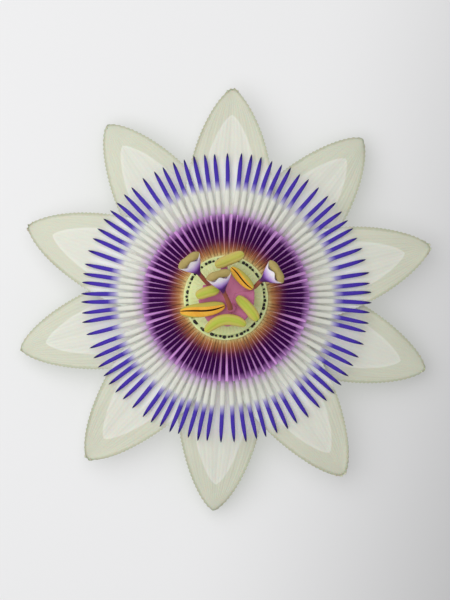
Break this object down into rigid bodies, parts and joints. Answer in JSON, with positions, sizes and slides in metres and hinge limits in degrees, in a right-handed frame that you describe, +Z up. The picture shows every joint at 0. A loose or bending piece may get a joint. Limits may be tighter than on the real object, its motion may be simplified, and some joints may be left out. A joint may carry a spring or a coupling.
{
  "type": "passion flower",
  "caption": "Open blue passion flower lying face up: pointed pale tepals, a wide ray of purple, white and blue filaments, green centre with anthers and styles.",
  "frame": {"origin": "on the surface that the flower lies on, under the middle of its outline", "axes": "+Z up out of the flower's face, +Y towards the top tepal"},
  "size_m": [0.0879, 0.0904, 0.0241],
  "materials": {
    "stalk": "soft satin green, faintly ridged",
    "bract": "matt leaf green with a pale vein net",
    "cup": "waxy pale green",
    "sepal": "matt grey-green band round a paler middle, green back",
    "petal": "matt grey-green band round a paler middle",
    "web": "thin lilac membrane, tan near the middle",
    "corona": "waxy, brown then deep purple, then white, then blue to the tip",
    "plate": "pale green plate with black-green glossy knobs",
    "lid": "pale waxy green",
    "mauve": "fleshy mauve pink",
    "anther": "yellow-green back, grainy orange pollen face with a dark slit",
    "style": "brown stem, dark purple neck, lavender to white trumpet",
    "stigma": "velvety olive tan"
  },
  "bodies": {
    "root": {"peduncle": "stalk", "hypanthium": "cup", "bract_1": "bract", "bract_2": "bract", "bract_3": "bract", "sepal_1": "sepal", "sepal_2": "sepal", "sepal_3": "sepal", "sepal_4": "sepal", "sepal_5": "sepal", "petal_1": "petal", "petal_2": "petal", "petal_3": "petal", "petal_4": "petal", "petal_5": "petal", "corona_web": "web", "corona_lower_row": "corona", "corona_upper_row": "corona", "inner_corona": "plate", "operculum": "lid", "androgynophore": "mauve", "stamen_filaments": "mauve", "anther_1": "anther", "anther_2": "anther", "anther_3": "anther", "anther_4": "anther", "anther_5": "anther", "anther_6": "anther", "ovary": "mauve", "style_left": "style", "stigma_left": "stigma", "style_middle": "style", "stigma_middle": "stigma", "style_right": "style", "stigma_right": "stigma"}
  },
  "joints": []
}
